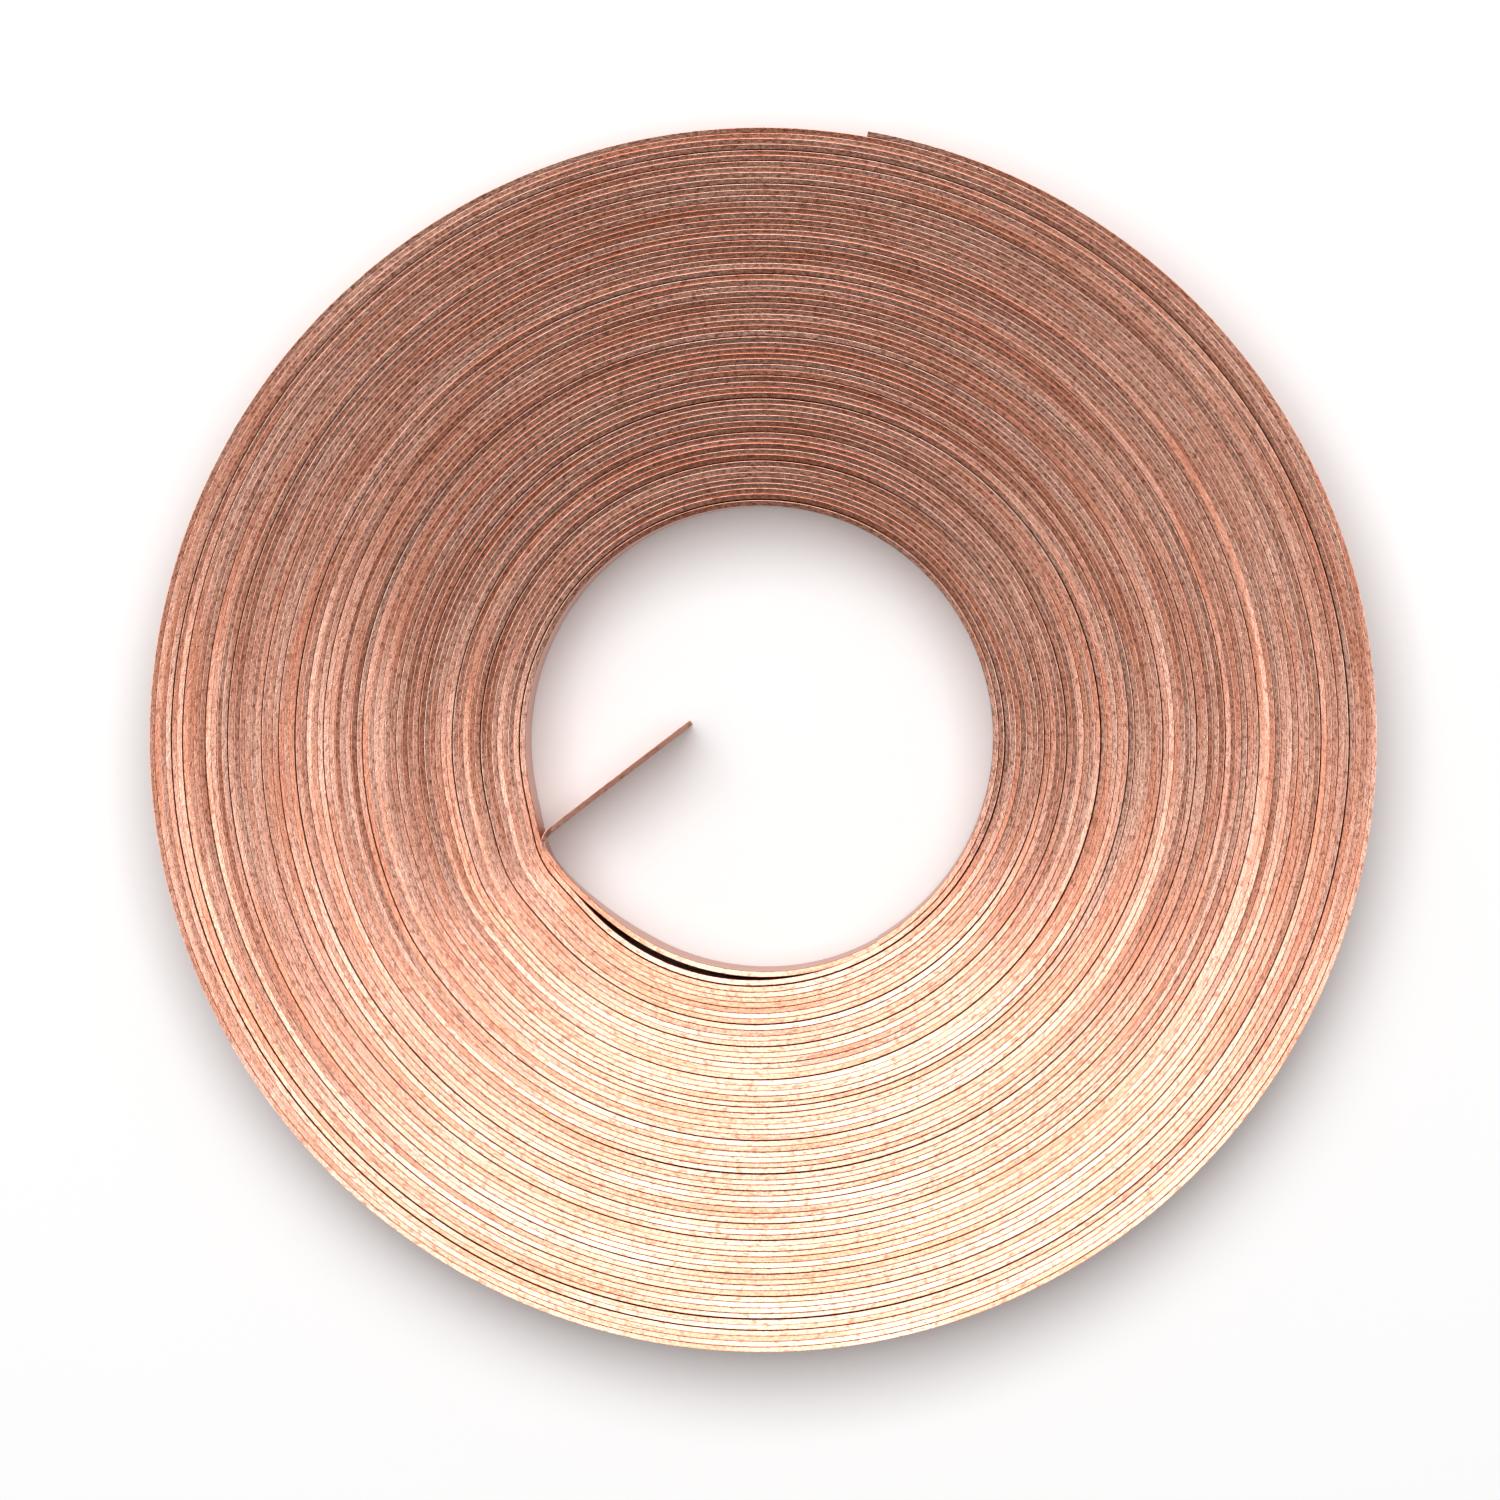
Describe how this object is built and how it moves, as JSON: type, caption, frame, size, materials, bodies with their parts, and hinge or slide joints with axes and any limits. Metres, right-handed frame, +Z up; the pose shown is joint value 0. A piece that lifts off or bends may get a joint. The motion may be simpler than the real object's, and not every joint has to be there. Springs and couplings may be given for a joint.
{
  "type": "coil of copper strip",
  "caption": "Flat coil of bare copper strip with no core, wound in tight turns, its inner tail bent across the open centre and its outer end lying loose.",
  "frame": {"origin": "centre of the coil's underside, on the plane it lies on", "axes": "+Z up along the coil's axis, out of the face that is seen; +X and +Y lie in the plane of the coil, with the inner tail pointing to +X +Y from the lower left"},
  "size_m": [0.0332, 0.0332, 0.0032],
  "materials": {
    "copper": "bright bare copper, satin edges"
  },
  "bodies": {
    "ring_12": {"winding_12": "copper"},
    "ring_11": {"winding_11": "copper", "crossover_11": "copper"},
    "ring_10": {"winding_10": "copper", "crossover_10": "copper"},
    "ring_09": {"winding_09": "copper", "crossover_09": "copper"},
    "ring_08": {"winding_08": "copper", "crossover_08": "copper"},
    "ring_07": {"winding_07": "copper", "crossover_07": "copper"},
    "ring_06": {"winding_06": "copper", "crossover_06": "copper"},
    "ring_05": {"winding_05": "copper", "crossover_05": "copper"},
    "ring_04": {"winding_04": "copper", "crossover_04": "copper"},
    "ring_03": {"winding_03": "copper", "crossover_03": "copper"},
    "ring_02": {"winding_02": "copper", "crossover_02": "copper"},
    "ring_01": {"winding_01": "copper", "crossover_01": "copper"},
    "lead": {"inner_lead": "copper", "inner_bend": "copper"},
    "tail": {"inner_tail": "copper"},
    "outer_end_1_body": {"outer_end_1": "copper"},
    "outer_end_2_body": {"outer_end_2": "copper"},
    "outer_end_3_body": {"outer_end_3": "copper"},
    "outer_end_4_body": {"outer_end_4": "copper"}
  },
  "joints": [
    {"name": "telescope_11", "type": "slide", "parent": "ring_12", "child": "ring_11", "axis": [0, 0, 1], "range_m": [0, 0.0012]},
    {"name": "telescope_10", "type": "slide", "parent": "ring_11", "child": "ring_10", "axis": [0, 0, 1], "range_m": [0, 0.0012]},
    {"name": "telescope_09", "type": "slide", "parent": "ring_10", "child": "ring_09", "axis": [0, 0, 1], "range_m": [0, 0.0012]},
    {"name": "telescope_08", "type": "slide", "parent": "ring_09", "child": "ring_08", "axis": [0, 0, 1], "range_m": [0, 0.0012]},
    {"name": "telescope_07", "type": "slide", "parent": "ring_08", "child": "ring_07", "axis": [0, 0, 1], "range_m": [0, 0.0012]},
    {"name": "telescope_06", "type": "slide", "parent": "ring_07", "child": "ring_06", "axis": [0, 0, 1], "range_m": [0, 0.0012]},
    {"name": "telescope_05", "type": "slide", "parent": "ring_06", "child": "ring_05", "axis": [0, 0, 1], "range_m": [0, 0.0012]},
    {"name": "telescope_04", "type": "slide", "parent": "ring_05", "child": "ring_04", "axis": [0, 0, 1], "range_m": [0, 0.0012]},
    {"name": "telescope_03", "type": "slide", "parent": "ring_04", "child": "ring_03", "axis": [0, 0, 1], "range_m": [0, 0.0012]},
    {"name": "telescope_02", "type": "slide", "parent": "ring_03", "child": "ring_02", "axis": [0, 0, 1], "range_m": [0, 0.0012]},
    {"name": "telescope_01", "type": "slide", "parent": "ring_02", "child": "ring_01", "axis": [0, 0, 1], "range_m": [0, 0.0012]},
    {"name": "lead_spring", "type": "hinge", "parent": "ring_01", "child": "lead", "pos_m": [0.00317, -0.00546, 0], "axis": [0, 0, -1], "range_deg": [0, 12]},
    {"name": "tail_bend", "type": "hinge", "parent": "lead", "child": "tail", "pos_m": [-0.00541, -0.00223, 0], "axis": [0, 0, 1], "range_deg": [-70, 50]},
    {"name": "peel_1", "type": "hinge", "parent": "ring_12", "child": "outer_end_1_body", "pos_m": [0.01637, -0.00285, 0], "axis": [0, 0, -1], "range_deg": [0, 20]},
    {"name": "peel_2", "type": "hinge", "parent": "outer_end_1_body", "child": "outer_end_2_body", "pos_m": [0.01623, 0.00365, 0], "axis": [0, 0, -1], "range_deg": [0, 20]},
    {"name": "peel_3", "type": "hinge", "parent": "outer_end_2_body", "child": "outer_end_3_body", "pos_m": [0.0136, 0.00962, 0], "axis": [0, 0, -1], "range_deg": [0, 20]},
    {"name": "peel_4", "type": "hinge", "parent": "outer_end_3_body", "child": "outer_end_4_body", "pos_m": [0.0089, 0.01412, 0], "axis": [0, 0, -1], "range_deg": [0, 20]}
  ],
  "couplings": [
    {"joint": "telescope_10", "follows": "telescope_11", "ratio": 1},
    {"joint": "telescope_09", "follows": "telescope_11", "ratio": 1},
    {"joint": "telescope_08", "follows": "telescope_11", "ratio": 1},
    {"joint": "telescope_07", "follows": "telescope_11", "ratio": 1},
    {"joint": "telescope_06", "follows": "telescope_11", "ratio": 1},
    {"joint": "telescope_05", "follows": "telescope_11", "ratio": 1},
    {"joint": "telescope_04", "follows": "telescope_11", "ratio": 1},
    {"joint": "telescope_03", "follows": "telescope_11", "ratio": 1},
    {"joint": "telescope_02", "follows": "telescope_11", "ratio": 1},
    {"joint": "telescope_01", "follows": "telescope_11", "ratio": 1},
    {"joint": "peel_2", "follows": "peel_1", "ratio": 1},
    {"joint": "peel_3", "follows": "peel_1", "ratio": 1},
    {"joint": "peel_4", "follows": "peel_1", "ratio": 1}
  ]
}
